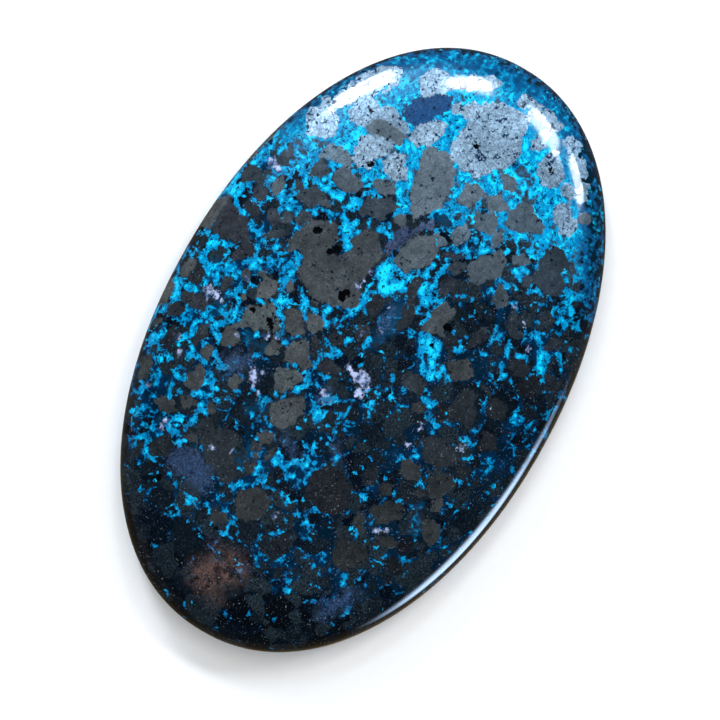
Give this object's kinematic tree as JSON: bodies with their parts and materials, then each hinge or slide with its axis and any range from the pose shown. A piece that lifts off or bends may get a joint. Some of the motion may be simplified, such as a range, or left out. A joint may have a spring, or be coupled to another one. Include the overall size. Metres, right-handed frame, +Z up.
{
  "type": "turquoise cabochon",
  "caption": "Oval turquoise cabochon with a low polished dome and a flat back, dark rock veined with blue and set with metallic grey clasts.",
  "frame": {"origin": "middle of the flat back", "axes": "+Z up through the dome, +X along the long axis of the oval, +Y along its short axis"},
  "size_m": [0.038, 0.024, 0.005],
  "materials": {
    "polished_turquoise": "high polish on the dome and wall, fine ground back"
  },
  "bodies": {
    "root": {"turquoise_cabochon": "polished_turquoise"}
  },
  "joints": []
}
